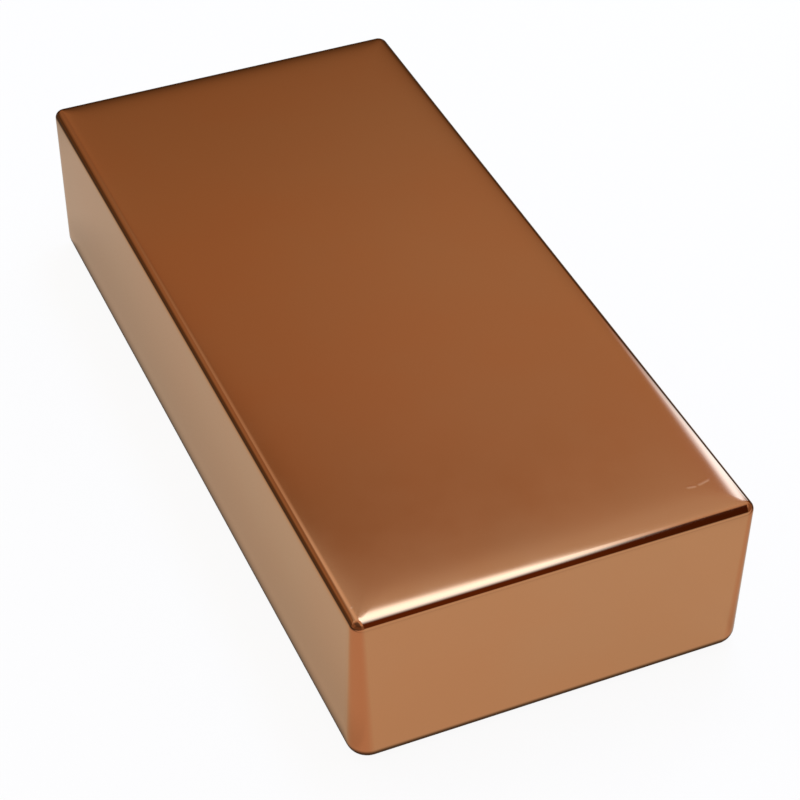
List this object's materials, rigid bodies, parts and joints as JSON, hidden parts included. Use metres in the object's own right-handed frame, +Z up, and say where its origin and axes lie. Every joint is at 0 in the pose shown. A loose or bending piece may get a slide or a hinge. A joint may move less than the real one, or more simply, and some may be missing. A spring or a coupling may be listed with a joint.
{
  "type": "copper ingot",
  "caption": "Flat rectangular copper bar with rounded edges, polished all over; a unit of raw metal that lies or stacks on its large faces.",
  "frame": {"origin": "middle of the bottom face, on the surface that the ingot lies on", "axes": "+X to the right across the width, +Y back along the length, +Z up through the height"},
  "size_m": [0.0484, 0.106, 0.0219],
  "materials": {
    "copper": "satin polished copper"
  },
  "bodies": {
    "root": {"ingot": "copper"}
  },
  "joints": []
}
